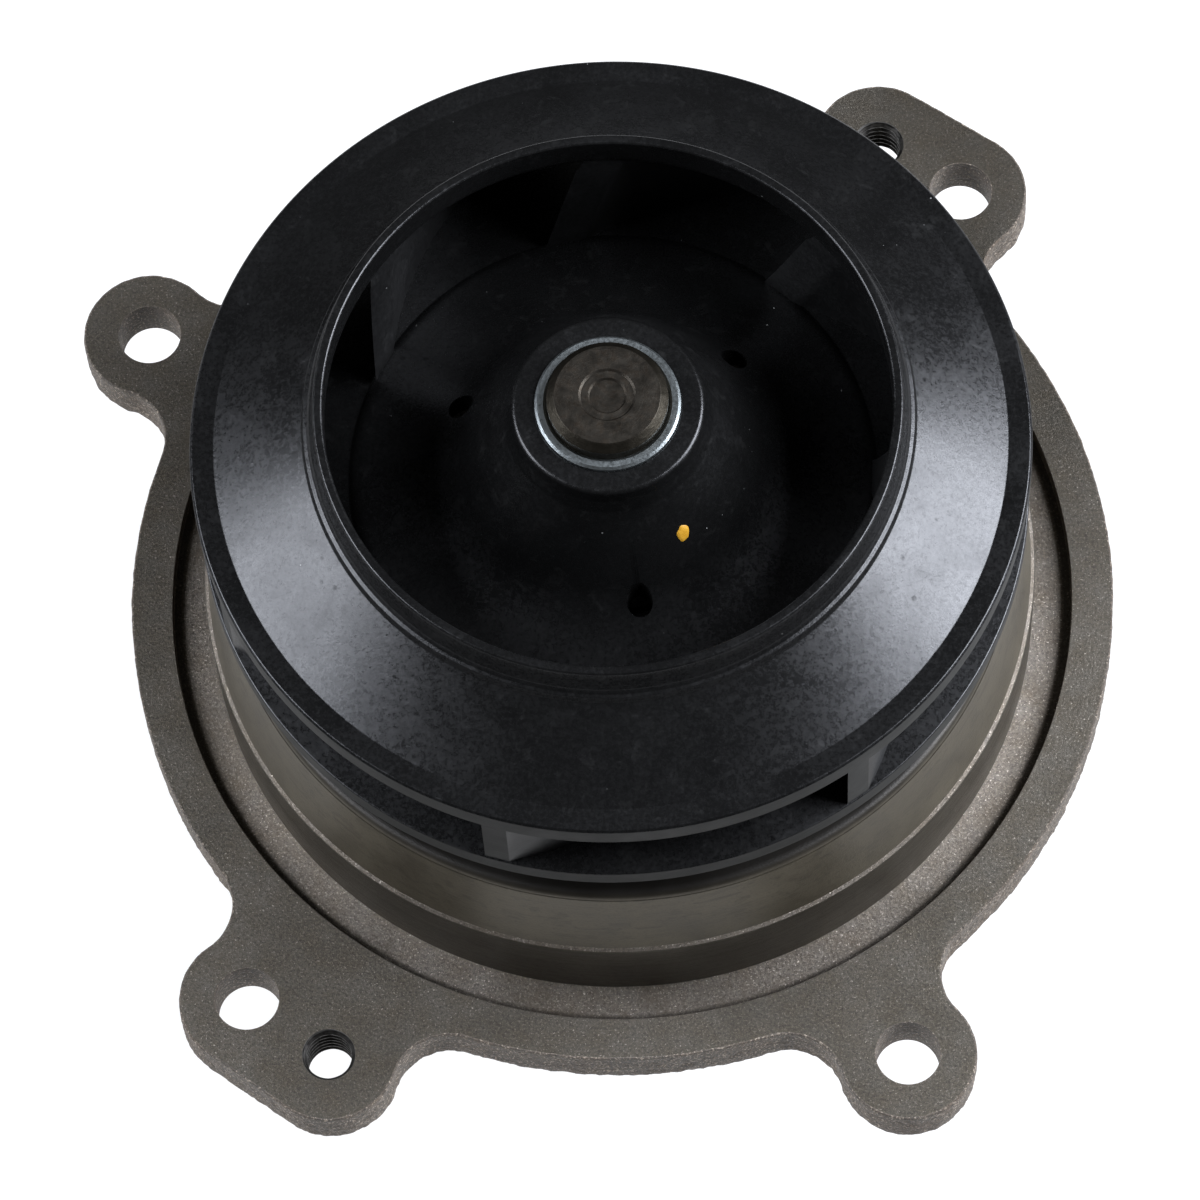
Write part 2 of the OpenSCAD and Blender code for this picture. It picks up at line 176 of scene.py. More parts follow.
class Build:
    """Collects vertices and faces, each face with a material index, and turns them into one object."""

    def __init__(self):
        self.points = []
        self.faces = []
        self.slots = []

    def grid(self, rows, slot=0, loop=False):
        """Joins rows of points into bands of faces. loop joins the last row to the first as well."""
        base = len(self.points)
        wide = len(rows[0])
        for row in rows:
            self.points += row
        last = len(rows) if loop else len(rows) - 1
        for i in range(last):
            here, there = base + i * wide, base + (i + 1) % len(rows) * wide
            for k in range(wide):
                m = (k + 1) % wide
                self.faces.append([here + k, here + m, there + m, there + k])
                self.slots.append(slot(i) if callable(slot) else slot)

    def lathe(self, section, segments, slot=0, closed=False, centre=(0, 0)):
        """Revolves a section of [radius, height] points. closed joins its last point to its first."""
        rows = []
        for r, z in section:
            rows.append([(centre[0] + r * math.cos(a), centre[1] + r * math.sin(a), z)
                         for a in (2 * math.pi * k / segments for k in range(segments))])
        self.grid(rows, slot, loop=closed)

    def sheet(self, outline, holes, z, slot=0, up=True):
        """A flat face at height z inside the outline and outside the holes."""
        coords, edges = [], []
        for ring in [outline, *holes]:
            base = len(coords)
            coords += [Vector(p[:2]) for p in ring]
            edges += [(base + i, base + (i + 1) % len(ring)) for i in range(len(ring))]
        verts, _, tris, *_ = geometry.delaunay_2d_cdt(coords, edges, [], 1, 1e-7)
        base = len(self.points)
        self.points += [(v.x, v.y, z) for v in verts]
        rings = [(sum((Vector(p[:2]) for p in ring), Vector((0, 0))) / len(ring), ring) for ring in holes]
        rings = [(middle, (Vector(ring[0][:2]) - middle).length) for middle, ring in rings]
        for tri in tris:
            a, b, c = (verts[i] for i in tri[:3])
            if any(((a + b + c) / 3 - middle).length < r for middle, r in rings):
                continue
            clockwise = (b - a).cross(c - a) < 0
            face = [base + i for i in tri]
            self.faces.append(face[::-1] if clockwise == up else face)
            self.slots.append(slot)

    def mesh(self, name, materials, sharp=SHARP_DEG):
        data = bpy.data.meshes.new(name)
        data.from_pydata([Vector(p) * MM for p in self.points], [], self.faces)
        for material in materials:
            data.materials.append(material)
        data.polygons.foreach_set("material_index", self.slots)
        work = bmesh.new()
        work.from_mesh(data)
        bmesh.ops.remove_doubles(work, verts=work.verts, dist=WELD * MM)
        bmesh.ops.recalc_face_normals(work, faces=work.faces)
        work.to_mesh(data)
        work.free()
        data.polygons.foreach_set("use_smooth", [True] * len(data.polygons))
        data.set_sharp_from_angle(angle=math.radians(sharp))
        piece = bpy.data.objects.new(name, data)
        bpy.context.scene.collection.objects.link(piece)
        return piece


def cut_away(piece, cutter):
    """Cuts one mesh out of another for good."""
    tool = piece.modifiers.new("cut", "BOOLEAN")
    tool.operation = "DIFFERENCE"
    tool.solver = "EXACT"
    tool.object = cutter
    cut = bpy.data.meshes.new_from_object(piece.evaluated_get(bpy.context.evaluated_depsgraph_get()))
    piece.modifiers.clear()
    piece.data = cut
    bpy.data.objects.remove(cutter)
    piece.data.set_sharp_from_angle(angle=math.radians(SHARP_DEG))
    piece.modifiers.new("even_shading", "WEIGHTED_NORMAL").keep_sharp = True


# ---------- material helpers ----------

class Surface:
    """A procedural material, built node by node."""

    def __init__(self, name, **values):
        self.material = bpy.data.materials.new(name)
        self.material.use_nodes = True
        self.tree = self.material.node_tree
        self.shader = self.tree.nodes["Principled BSDF"]
        for key, value in values.items():
            self.shader.inputs[key.replace("_", " ")].default_value = value
        self.where = self.node("ShaderNodeTexCoord").outputs["Object"]

    def node(self, kind, **values):
        made = self.tree.nodes.new(kind)
        for key, value in values.items():
            if hasattr(made, key):
                setattr(made, key, value)
            else:
                self.link(value, made.inputs[key.replace("_", " ")])
        return made

    def link(self, value, socket):
        if isinstance(value, bpy.types.NodeSocket):
            self.tree.links.new(value, socket)
        else:
            socket.default_value = value

    def set(self, key, value):
        self.link(value, self.shader.inputs[key])

    def noise(self, size_mm, detail=4.0, rough=0.55, where=None, distortion=0.0):
        return self.node("ShaderNodeTexNoise", Vector=where or self.where, Scale=1 / (size_mm * MM),
                         Detail=detail, Roughness=rough, Distortion=distortion).outputs["Fac"]

    def cells(self, size_mm, feature="F1", where=None):
        return self.node("ShaderNodeTexVoronoi", feature=feature, Vector=where or self.where,
                         Scale=1 / (size_mm * MM)).outputs["Distance"]

    def ramp(self, value, low, high, out_low=0.0, out_high=1.0):
        return self.node("ShaderNodeMapRange", Value=value, From_Min=low, From_Max=high, To_Min=out_low,
                         To_Max=out_high).outputs["Result"]

    def math(self, operation, a, b=0.0):
        made = self.node("ShaderNodeMath", operation=operation)
        for value, socket in zip((a, b), made.inputs):
            self.link(value, socket)
        return made.outputs[0]

    def mix(self, amount, a, b):
        made = self.node("ShaderNodeMix", data_type="RGBA")
        self.link(amount, made.inputs["Factor"])
        self.link(a, made.inputs[6])
        self.link(b, made.inputs[7])
        return made.outputs[2]

    def stretched(self, x, y, z, turn=(0, 0, 0)):
        return self.node("ShaderNodeMapping", Vector=self.where, Scale=(x, y, z), Rotation=turn).outputs[0]

    def radius(self):
        """Distance from the shaft's axis, in metres."""
        parts = self.node("ShaderNodeSeparateXYZ", Vector=self.where)
        square = self.math("ADD", self.math("MULTIPLY", parts.outputs[0], parts.outputs[0]),
                           self.math("MULTIPLY", parts.outputs[1], parts.outputs[1]))
        return self.math("SQRT", square)

    def height(self):
        return self.node("ShaderNodeSeparateXYZ", Vector=self.where).outputs[2]

    def turned(self, drift_mm=1.2):
        """A space whose bands run round the shaft's axis, and fade into one another along it."""
        drift = self.math("MULTIPLY", self.noise(5.0, 1), drift_mm * MM)
        return self.node("ShaderNodeCombineXYZ", X=self.radius(), Y=drift, Z=self.height()).outputs[0]

    def turned_grain(self, amount):
        """Stretches highlights across the turning rings of a surface faced on a lathe."""
        parts = self.node("ShaderNodeSeparateXYZ", Vector=self.where)
        across = self.node("ShaderNodeCombineXYZ", X=parts.outputs[0], Y=parts.outputs[1]).outputs[0]
        spun = self.node("ShaderNodeVectorTransform", vector_type="VECTOR", convert_from="OBJECT",
                         convert_to="WORLD", Vector=across).outputs[0]
        self.set("Tangent", spun)
        self.set("Anisotropic", amount)

    def specks(self, spacing_mm, size, share=0.5):
        """Mask of small dots about spacing_mm apart. size is a part of the spacing."""
        dots = self.ramp(self.cells(spacing_mm), size, size * 0.6)
        return self.math("MULTIPLY", dots, self.ramp(self.noise(spacing_mm * 2.3, 1), share, share + 0.02))

    def bump(self, height, depth_mm, below=None):
        made = self.node("ShaderNodeBump", Height=height, Strength=1.0, Distance=depth_mm * MM)
        if below is not None:
            self.link(below, made.inputs["Normal"])
        return made.outputs[0]


def colour(r, g, b):
    return (r, g, b, 1.0)


def shade(tone, *factors):
    """tone times one factor, or times a factor for each channel."""
    each = factors * 3 if len(factors) == 1 else factors
    return colour(*(min(1, c * f) for c, f in zip(tone, each)))


def black_plastic(name, polish=0.27):
    """Semi-gloss moulded plastic with handling marks: smudges, dull pits, dust and fine scratches."""
    s = Surface(name, Specular_IOR_Level=0.36)
    smudge = s.noise(14, 5, 0.62, distortion=0.6)
    mottle = s.noise(0.8, 5, 0.8)
    patch = s.ramp(s.noise(3.5, 5, 0.7, distortion=0.5), 0.56, 0.72)
    pits = s.math("MULTIPLY", s.specks(2.6, 0.22, 0.56), s.ramp(smudge, 0.45, 0.6))
    dust = s.math("MAXIMUM", s.specks(5.5, 0.028, 0.5), s.specks(2.1, 0.04, 0.58))
    base = s.mix(smudge, colour(0.0025, 0.0025, 0.0025), colour(0.0055, 0.0055, 0.0054))
    base = s.mix(s.math("MULTIPLY", patch, 0.5), base, colour(0.012, 0.012, 0.0115))
    s.set("Base Color", s.mix(s.math("MULTIPLY", dust, 0.8), base, colour(0.26, 0.26, 0.25)))
    shine = s.ramp(mottle, 0.35, 0.65, 0.24, 0.48)
    s.set("Specular IOR Level", s.math("SUBTRACT", shine, s.math("MULTIPLY", pits, 0.18)))
    matt = s.ramp(smudge, 0.35, 0.7, polish - 0.04, polish + 0.06)
    matt = s.math("ADD", matt, s.ramp(mottle, 0.35, 0.65, -0.05, 0.07))
    s.set("Roughness", s.math("ADD", matt, s.math("MULTIPLY", patch, 0.07)))
    scratch = None
    for turn in ((0.3, 0.2, 0.4), (0.1, 0.5, 1.9), (0.4, 0.1, 2.8)):
        line = s.cells(5.0, "DISTANCE_TO_EDGE", s.stretched(0.05, 1.0, 1.0, turn))
        mark = s.math("MULTIPLY", s.ramp(line, 0.004, 0.0), s.ramp(s.noise(7), 0.62, 0.66))
        scratch = mark if scratch is None else s.math("MAXIMUM", scratch, mark)
    skin = s.bump(s.noise(0.5, 4, 0.75), 0.03)
    s.set("Normal", s.bump(scratch, -0.006, s.bump(pits, -0.01, skin)))
    return s.material


def turned_plastic(name):
    """The impeller's edge, turned true after moulding: matt grey with fine rings."""
    s = Surface(name, Specular_IOR_Level=0.15)
    rings = s.noise(0.25, 3, 0.6, s.turned())
    film = s.noise(6, 4)
    base = s.mix(film, colour(0.014, 0.014, 0.013), colour(0.026, 0.026, 0.024))
    s.set("Base Color", s.mix(s.ramp(rings, 0.5, 0.7, 0.0, 0.5), base, colour(0.04, 0.04, 0.037)))
    s.set("Roughness", s.ramp(film, 0.3, 0.7, 0.55, 0.7))
    s.set("Normal", s.bump(rings, 0.01))
    return s.material


def machined_iron(name, tone, ring_mm, metal, matt, streak):
    """Faced cast iron: open grain with painted glints, faint turning rings, an old film and painted shade in
    the groove's outer corner.
    """
    s = Surface(name, Metallic=metal)
    film = s.noise(26, 6, 0.65, distortion=0.5)
    blotch = s.ramp(s.noise(5, 5, 0.65), 0.35, 0.68)
    open_grain = s.noise(0.6, 5, 0.85)
    # Painted glints: specks of colour at 2.4 and 5 times the tone stand in for light glancing off the grain.
    painted_glints = s.ramp(s.noise(0.4, 3, 0.75), 0.55, 0.68)
    bright = s.math("MULTIPLY", s.ramp(s.noise(0.42, 2, 0.6), 0.64, 0.7), s.ramp(film, 0.4, 0.55))
    base = s.mix(s.ramp(film, 0.32, 0.66), shade(tone, 0.62, 0.61, 0.58), colour(*tone))
    base = s.mix(s.math("MULTIPLY", blotch, 0.55), base, shade(tone, 0.66, 0.58, 0.46))
    base = s.mix(s.ramp(open_grain, 0.46, 0.62, 0.0, 0.6), base, shade(tone, 0.28))
    base = s.mix(s.math("MULTIPLY", painted_glints, 0.45), base, shade(tone, 2.4))
    base = s.mix(s.math("MULTIPLY", bright, 0.5), base, shade(tone, 5))
    # Painted shade: the groove's outer corner is darkened between these radii.
    groove_shade = s.math("MULTIPLY", s.ramp(s.radius(), *GROOVE_SHADE_START), s.ramp(s.radius(), *GROOVE_SHADE_END))
    s.set("Base Color", s.mix(s.math("MULTIPLY", groove_shade, 0.65), base, colour(0.012, 0.01, 0.008)))
    s.set("Roughness", s.ramp(open_grain, 0.3, 0.7, matt - 0.08, matt + 0.16))
    rings = s.noise(0.4, 3, 0.6, s.turned())
    s.set("Normal", s.bump(rings, ring_mm, s.bump(open_grain, 0.1)))
    s.turned_grain(streak)
    return s.material


def turned_iron(name):
    """Turned band of the pilot: fine rings under a brown film, with darker grains."""
    s = Surface(name, Metallic=0.7)
    rings = s.noise(0.2, 3, 0.6, s.turned())
    film = s.noise(15, 5, 0.62, distortion=0.4)
    base = s.mix(s.ramp(film, 0.3, 0.7), colour(0.042, 0.036, 0.025), colour(0.088, 0.079, 0.061))
    worn = s.ramp(s.noise(0.8, 4, 0.7), 0.5, 0.7, 0.0, 0.5)
    s.set("Base Color", s.mix(worn, base, colour(0.022, 0.019, 0.014)))
    s.set("Roughness", s.ramp(rings, 0.3, 0.7, 0.32, 0.48))
    s.set("Normal", s.bump(rings, 0.03))
    return s.material


def cast_iron(name):
    """Sand cast skin: coarse grains, dark pits, light specks and a rusty cast over grey."""
    tone, depth = (0.122, 0.102, 0.08), 0.34
    s = Surface(name, Metallic=0.15)
    film = s.noise(12, 5, 0.62)
    grains = s.noise(0.75, 5, 0.72)
    fine = s.noise(0.32, 3, 0.7)
    pits = s.ramp(s.cells(1.4), 0.0, 0.4)
    base = s.mix(s.ramp(grains, 0.35, 0.66), shade(tone, 0.42), shade(tone, 1.3))
    base = s.mix(s.ramp(film, 0.42, 0.7, 0.0, 0.55), base, shade(tone, 0.9, 0.7, 0.52))
    base = s.mix(s.ramp(fine, 0.5, 0.62, 0.0, 0.8), base, shade(tone, 0.22))
    base = s.mix(s.ramp(s.noise(0.45, 2, 0.6), 0.57, 0.64, 0.0, 0.8), base, shade(tone, 3.2))
    s.set("Base Color", base)
    s.set("Roughness", s.ramp(grains, 0.3, 0.7, 0.5, 0.75))
    s.set("Normal", s.bump(fine, depth * 0.3, s.bump(grains, depth, s.bump(pits, depth * 0.6))))
    return s.material


def thread_steel(name):
    """Cut thread, dark with old sealant, bright on the crests."""
    s = Surface(name, Metallic=0.8)
    film = s.noise(1.2, 4, 0.65)
    edge = s.node("ShaderNodeNewGeometry").outputs["Pointiness"]
    base = s.mix(s.ramp(film, 0.35, 0.65), colour(0.02, 0.019, 0.017), colour(0.06, 0.056, 0.05))
    s.set("Base Color", s.mix(s.ramp(edge, 0.52, 0.58), base, colour(0.3, 0.29, 0.27)))
    s.set("Roughness", s.ramp(film, 0.3, 0.7, 0.3, 0.5))
    s.set("Normal", s.bump(film, 0.02))
    return s.material


def drum_iron(name):
    """Smooth olive-brown skin of the drum's taper, with marks that run round it, and painted shade on its top
    wall under the impeller's disc.
    """
    s = Surface(name, Metallic=0.5)
    film = s.noise(15, 5, 0.62, distortion=0.5)
    rings = s.noise(1.3, 4, 0.65, s.turned(6.0))
    grains = s.noise(0.45, 3, 0.65)
    base = s.mix(s.ramp(film, 0.3, 0.7), colour(0.046, 0.038, 0.0245), colour(0.088, 0.075, 0.051))
    base = s.mix(s.ramp(rings, 0.52, 0.68, 0.0, 0.55), base, colour(0.028, 0.023, 0.016))
    base = s.mix(s.ramp(grains, 0.56, 0.7, 0.0, 0.4), base, colour(0.02, 0.016, 0.011))
    # Painted shade: the top wall is darkened by height, where the impeller's disc shades it.
    shade_under_disc = s.ramp(s.height(), (DRUM_H - 1.4) * MM, (DRUM_H - 0.1) * MM)
    s.set("Base Color", s.mix(shade_under_disc, base, colour(0.016, 0.014, 0.011)))
    s.set("Roughness", s.ramp(film, 0.3, 0.7, 0.36, 0.5))
    s.set("Normal", s.bump(rings, 0.025, s.bump(grains, 0.04)))
    return s.material


def shaft_iron(name):
    """The shaft: worn brown on its end face, darker on the bevel, ground bright where it runs inside."""
    s = Surface(name, Metallic=0.9)
    rings = s.noise(0.3, 3, 0.6, s.turned())
    film = s.noise(2.4, 5, 0.65, distortion=0.4)
    rust = s.ramp(s.noise(1.2, 5, 0.7), 0.45, 0.68)
    brown = s.mix(film, colour(0.034, 0.03, 0.024), colour(0.07, 0.062, 0.05))
    brown = s.mix(s.math("MULTIPLY", rust, 0.6), brown, colour(0.045, 0.032, 0.021))
    bevel = s.ramp(s.radius(), *BEVEL_START)
    brown = s.mix(bevel, brown, colour(0.03, 0.026, 0.019))
    inside = s.ramp(s.height(), *HIDDEN_FROM)
    s.set("Base Color", s.mix(inside, brown, colour(0.5, 0.5, 0.49)))
    s.set("Roughness", s.ramp(film, 0.3, 0.7, 0.33, 0.5))
    s.set("Normal", s.bump(rings, 0.03, s.bump(rust, 0.02)))
    return s.material


def plated_steel(name, tone, matt=0.34):
    """Steel with a dull zinc skin: fine crystals, a few bright specks, no rings."""
    s = Surface(name, Metallic=1.0)
    crystals = s.noise(0.45, 4, 0.7)
    film = s.noise(3.0, 4, 0.6)
    base = s.mix(s.ramp(film, 0.3, 0.7), shade(tone, 0.8), colour(*tone))
    s.set("Base Color", s.mix(s.ramp(crystals, 0.5, 0.7, 0.0, 0.6), base, shade(tone, 0.55)))
    s.set("Roughness", s.ramp(crystals, 0.3, 0.7, matt - 0.08, matt + 0.12))
    s.set("Normal", s.bump(crystals, 0.03))
    return s.material


def ground_steel(name, tone, matt=0.25):
    """Ground steel with fine lines and a light film."""
    s = Surface(name, Metallic=1.0)
    lines = s.noise(0.2, 2, 0.5, s.stretched(0.02, 0.02, 1.0))
    film = s.noise(5, 4)
    s.set("Base Color", s.mix(s.ramp(film, 0.3, 0.7), shade(tone, 0.75), colour(*tone)))
    s.set("Roughness", s.ramp(lines, 0.3, 0.7, matt - 0.05, matt + 0.1))
    s.set("Normal", s.bump(lines, 0.006))
    return s.material


def soft_rubber(name):
    s = Surface(name, Specular_IOR_Level=0.35)
    grains = s.noise(0.4, 3)
    s.set("Base Color", s.mix(grains, colour(0.012, 0.012, 0.013), colour(0.03, 0.03, 0.031)))
    s.set("Roughness", s.ramp(grains, 0.3, 0.7, 0.6, 0.8))
    s.set("Normal", s.bump(grains, 0.02))
    return s.material


def coated_steel(name):
    """Black powder coat with orange peel, thin on the edges."""
    s = Surface(name, Specular_IOR_Level=0.5)
    peel = s.noise(1.1, 2, 0.4)
    film = s.noise(20, 4)
    edge = s.node("ShaderNodeNewGeometry").outputs["Pointiness"]
    base = s.mix(film, colour(0.014, 0.014, 0.015), colour(0.026, 0.026, 0.028))
    s.set("Base Color", s.mix(s.ramp(edge, 0.53, 0.6, 0.0, 0.5), base, colour(0.2, 0.2, 0.2)))
    s.set("Roughness", s.ramp(film, 0.3, 0.7, 0.32, 0.46))
    s.set("Normal", s.bump(peel, 0.03))
    return s.material


def paint(name):
    s = Surface(name)
    film = s.noise(0.8, 3)
    s.set("Base Color", s.mix(film, colour(0.42, 0.2, 0.012), colour(0.6, 0.33, 0.03)))
    s.set("Roughness", s.ramp(film, 0.3, 0.7, 0.35, 0.5))
    s.set("Normal", s.bump(film, 0.05))
    return s.material


# ---------- housing ----------

def corner(a, b, c):
    """Angle in degrees opposite side c of a triangle."""
    return math.degrees(math.acos((a * a + b * b - c * c) / (2 * a * b)))


def mount_polar(name):
    x, y, _ = MOUNTS[name]["pos_m"]
    return math.hypot(x, y) / MM, math.degrees(math.atan2(y, x)) % 360


def arc(centre, r, start, turn, hollow=False):
    """(point, outward normal) pairs along an arc. hollow turns the normals towards the centre."""
    steps = max(2, math.ceil(abs(math.radians(turn)) * r / OUTLINE_STEP))
    side = -1 if hollow else 1
    return [(centre + polar(r, start + turn * i / steps), polar(side, start + turn * i / steps))
            for i in range(steps)]


def straight(a, b, normal):
    steps = max(1, math.ceil((b - a).length / OUTLINE_STEP))
    return [(a.lerp(b, i / steps), normal) for i in range(steps)]


def flange_outline():
    """The flange's edge, counter-clockwise, as (point, outward normal) pairs."""
    bolt = [mount_polar(f"bolt_hole_{i}") for i in range(1, 5)]
    jack = [mount_polar(f"jacking_thread_{i}") for i in range(1, 3)]
    circle_r = bolt[0][0]
    lugs = [(bolt[0][1], jack[0][1]), (bolt[1][1],) * 2, (bolt[2][1], jack[1][1]), (bolt[3][1],) * 2]
    far, reach = FLANGE_R + FILLET_R, LUG_R + FILLET_R
    at_origin = corner(far, circle_r, reach)
    at_fillet = corner(far, reach, circle_r)
    at_lug = 180 - corner(circle_r, reach, far)
    origin = Vector((0, 0))
    pairs = []
    for i, (first, last) in enumerate(lugs):
        middle = (first + last) / 2
        pairs += arc(polar(far, first - at_origin), FILLET_R, first - at_origin + 180, -at_fillet, True)
        pairs += arc(polar(circle_r, first), LUG_R, first - at_lug, middle - first + at_lug)
        if last > first:
            outward = polar(1, middle)
            ends = [polar(circle_r, angle) + outward * LUG_R for angle in (first, last)]
            pairs += straight(*ends, outward)
        pairs += arc(polar(circle_r, last), LUG_R, middle, last + at_lug - middle)
        start = last + at_origin
        pairs += arc(polar(far, start), FILLET_R, start + 180 + at_fillet, -at_fillet, True)
        end = lugs[(i + 1) % 4][0] - at_origin + (360 if i == 3 else 0)
        pairs += arc(origin, FLANGE_R, start, end - start)
    return pairs


def flange_edge(pairs):
    """Rows of points down the rough edge of the flange, from its top face to its rear face."""
    body = [(0.0, -1.1 - 0.6 * i) for i in range(12)]
    profile = [(0.36, 0.0), (0.17, -0.07), (0.04, -0.25), (0.0, -0.55), *body, (0.03, -8.6), (0.2, -9.2),
               (0.5, -9.43), (0.9, -FLANGE_T)]
    rows = []
    for inset, z in profile:
        row = []
        for p, n in pairs:
            coarse = min(1.0, 0.35 - z * 0.2)
            rough = 0.18 * grain(p.x, p.y, z, 1.9, 9.0) + 0.2 * grain(p.x, p.y, z, 0.95, 5.0)
            rough = 0.07 + 0.12 * grain(p.x, p.y, z, 9.0) + coarse * (0.06 + rough)
            q = p - n * (inset + max(0.0, rough))
            row.append((q.x, q.y, z))
        rows.append(row)
    return rows


def plain_hole(build, centre, r, slot):
    section = [(r + 0.14, 0), (r + 0.04, -0.04), (r, -0.15), (r, -FLANGE_T + 0.3), (r + 0.3, -FLANGE_T)]
    build.lathe(section, 96, slot, centre=centre)
    return section[0][0], section[-1][0]


def threaded_hole(build, centre, slot):
    """A hole with a real thread: the radius swings between the tapping and the outer radius along a helix."""
    mouth_r, segments, step = THREAD_ROOT_R + 0.1, 96, THREAD_PITCH / 12
    rows = []
    count = round(FLANGE_T / step)
    for i in range(count + 1):
        z = -FLANGE_T * i / count
        end = min(-z, z + FLANGE_T)
        row = []
        for k in range(segments):
            phase = (z / THREAD_PITCH + k / segments) % 1
            ridge = min(1.0, max(0.0, 1.3 * (1 - abs(2 * phase - 1)) - 0.15))
            r = THREAD_ROOT_R - (THREAD_ROOT_R - THREAD_CREST_R) * ridge
            r = max(r, mouth_r - 0.9 * end)
            a = 2 * math.pi * k / segments
            row.append((centre[0] + r * math.cos(a), centre[1] + r * math.sin(a), z))
        rows.append(row)
    build.grid(rows, slot)
    return mouth_r, mouth_r


def circle(centre, r, segments):
    return [(centre[0] + r * math.cos(a), centre[1] + r * math.sin(a))
            for a in (2 * math.pi * k / segments for k in range(segments))]


def make_housing(materials):
    """The flange with its lugs and holes, the drum and the bearing boss, one material slot per skin."""
    ground, cast, snout, turned, grainy, thread = range(6)
    build = Build()
    edge = flange_edge(flange_outline())
    build.grid(edge, cast)
    tops, rears = [], []
    for name, mount in MOUNTS.items():
        centre = (mount["pos_m"][0] / MM, mount["pos_m"][1] / MM)
        if name.startswith("bolt_hole"):
            top_r, rear_r = plain_hole(build, centre, BOLT_R, cast)
        elif name.startswith("jacking_thread"):
            top_r, rear_r = threaded_hole(build, centre, thread)
        else:
            continue
        tops.append(circle(centre, top_r, 96))
        rears.append(circle(centre, rear_r, 96))
    segments = 540
    groove = [(GROOVE_R + 0.1, 0), (GROOVE_R, -0.1), (GROOVE_R, -GROOVE_DEPTH), (PILOT_R, -GROOVE_DEPTH)]
    pilot = [(PILOT_R, PILOT_H - 0.2), (PILOT_R - 0.15, PILOT_H)]
    lip = [(TAPER_R, TAPER_Z)]
    taper = [(TAPER_R - (TAPER_R - SNOUT_R) * t, TAPER_Z + (DRUM_H - PILOT_H - 1.6) * t)
             for t in (0.05, 0.35, 0.65, 0.98)]
    shoulder = [*bend((SNOUT_R, DRUM_H - 1.5), (SNOUT_R - 0.2, DRUM_H), (SNOUT_R - 1.8, DRUM_H), 5),
                (TOP_WALL_R, DRUM_H)]
    ring_r = BEARING_R + RING_GROOVE_DEPTH
    bore = [(SEAL_BORE_R + 0.5, DRUM_H), (SEAL_BORE_R, DRUM_H - 0.5), (SEAL_BORE_R, DRAIN_TOP),
            (DRAIN_R, DRAIN_TOP), (DRAIN_R, DRAIN_BOTTOM), (BEARING_R, DRAIN_BOTTOM),
            (BEARING_R, RING_GROOVE[0]), (ring_r, RING_GROOVE[0]), (ring_r, RING_GROOVE[1]),
            (BEARING_R, RING_GROOVE[1])]
    wall_low, wall_high = WALL_Z
    boss = softened([(BEARING_R, BOSS_Z + 0.8), (BEARING_R + 0.8, BOSS_Z), (BOSS_R - 1, BOSS_Z),
                     (BOSS_R, BOSS_Z + 1), (BOSS_R + 1.5, wall_low), (BOSS_R + 6, wall_high),
                     (CAVITY_R - 6, wall_high), (CAVITY_R - 1.5, wall_low), (CAVITY_R, -FLANGE_T + 1),
                     (CAVITY_R + 1, -FLANGE_T)], 2.0, closed=False)
    sections = [groove, pilot, lip, taper, shoulder, bore, boss]
    section = [p for part in sections for p in part]
    marks = []
    for part, slot in zip(sections, (grainy, turned, grainy, snout, snout, ground, cast)):
        marks += [slot] * len(part)
    build.lathe(section, segments, lambda i: marks[min(i + 1, len(marks) - 1)])
    top_hole, rear_hole = (circle((0, 0), section[i][0], segments) for i in (0, -1))
    build.sheet(edge[0], [top_hole, *tops], 0, ground)
    build.sheet(edge[-1], [rear_hole, *rears], -FLANGE_T, cast, up=False)
    casting = build.mesh("housing_casting", materials)
    casting.modifiers.new("even_shading", "WEIGHTED_NORMAL").keep_sharp = True
    return casting


def make_rib(i, material):
    """A cast rib between the bearing boss and the drum, with rounded edges."""
    side = [(BOSS_R - 1, -42), (CAVITY_R + 1.5, -8), (CAVITY_R + 1.5, 26), (BOSS_R - 1, 26)]
    build = Build()
    build.grid([[(r, y, z) for r, z in side] for y in (-RIB_T / 2, RIB_T / 2)], 0)
    build.faces += [[3, 2, 1, 0], [4, 5, 6, 7]]
    build.slots += [0, 0]
    piece = build.mesh(f"rib_{i + 1}", [material])
    work = bmesh.new()
    work.from_mesh(piece.data)
    bmesh.ops.bevel(work, geom=list(work.edges), offset=1.2 * MM, segments=4, affect="EDGES", profile=0.5)
    work.transform(Matrix.Rotation(2 * math.pi * i / RIB_COUNT, 4, "Z"))
    work.to_mesh(piece.data)
    work.free()
    piece.data.polygons.foreach_set("use_smooth", [True] * len(piece.data.polygons))
    piece.data.set_sharp_from_angle(angle=math.radians(SHARP_DEG))
    return piece


# ---------- impeller ----------

DISC_FRONT = [(15.4, HUB_TOP), (15.9, 80.2), (16.3, 78.2), (17.2, 75.8),
              *bend((25, 62.4), (28.8, 55.9), (41.9, 53.24), 16),
              *bend((42.2, 53.18), (43.5, 52.9), (44.3, 51.8), 6),
              (55, 49.9), (IMPELLER_R, OUTLET_Z)]
SHROUD_INNER = [(IMPELLER_R, SHROUD_Z), *bend((66.5, SHROUD_Z), (63.9, SHROUD_Z), (61, 65.03), 6),
                *bend((49.5, 72.68), (EYE_R, 74.55), (EYE_R, 77), 8)]


# Material slots of the impeller's pieces, in the order of PLASTIC.
GLOSSY, TURNED, DULL = range(3)


def on_rim(section):
    """Slot chooser: turned where a section runs along the outer edge, else glossy."""
    def slot(i):
        inner = min(section[i][0], section[(i + 1) % len(section)][0])
        return TURNED if inner > IMPELLER_R - 0.05 else GLOSSY
    return slot


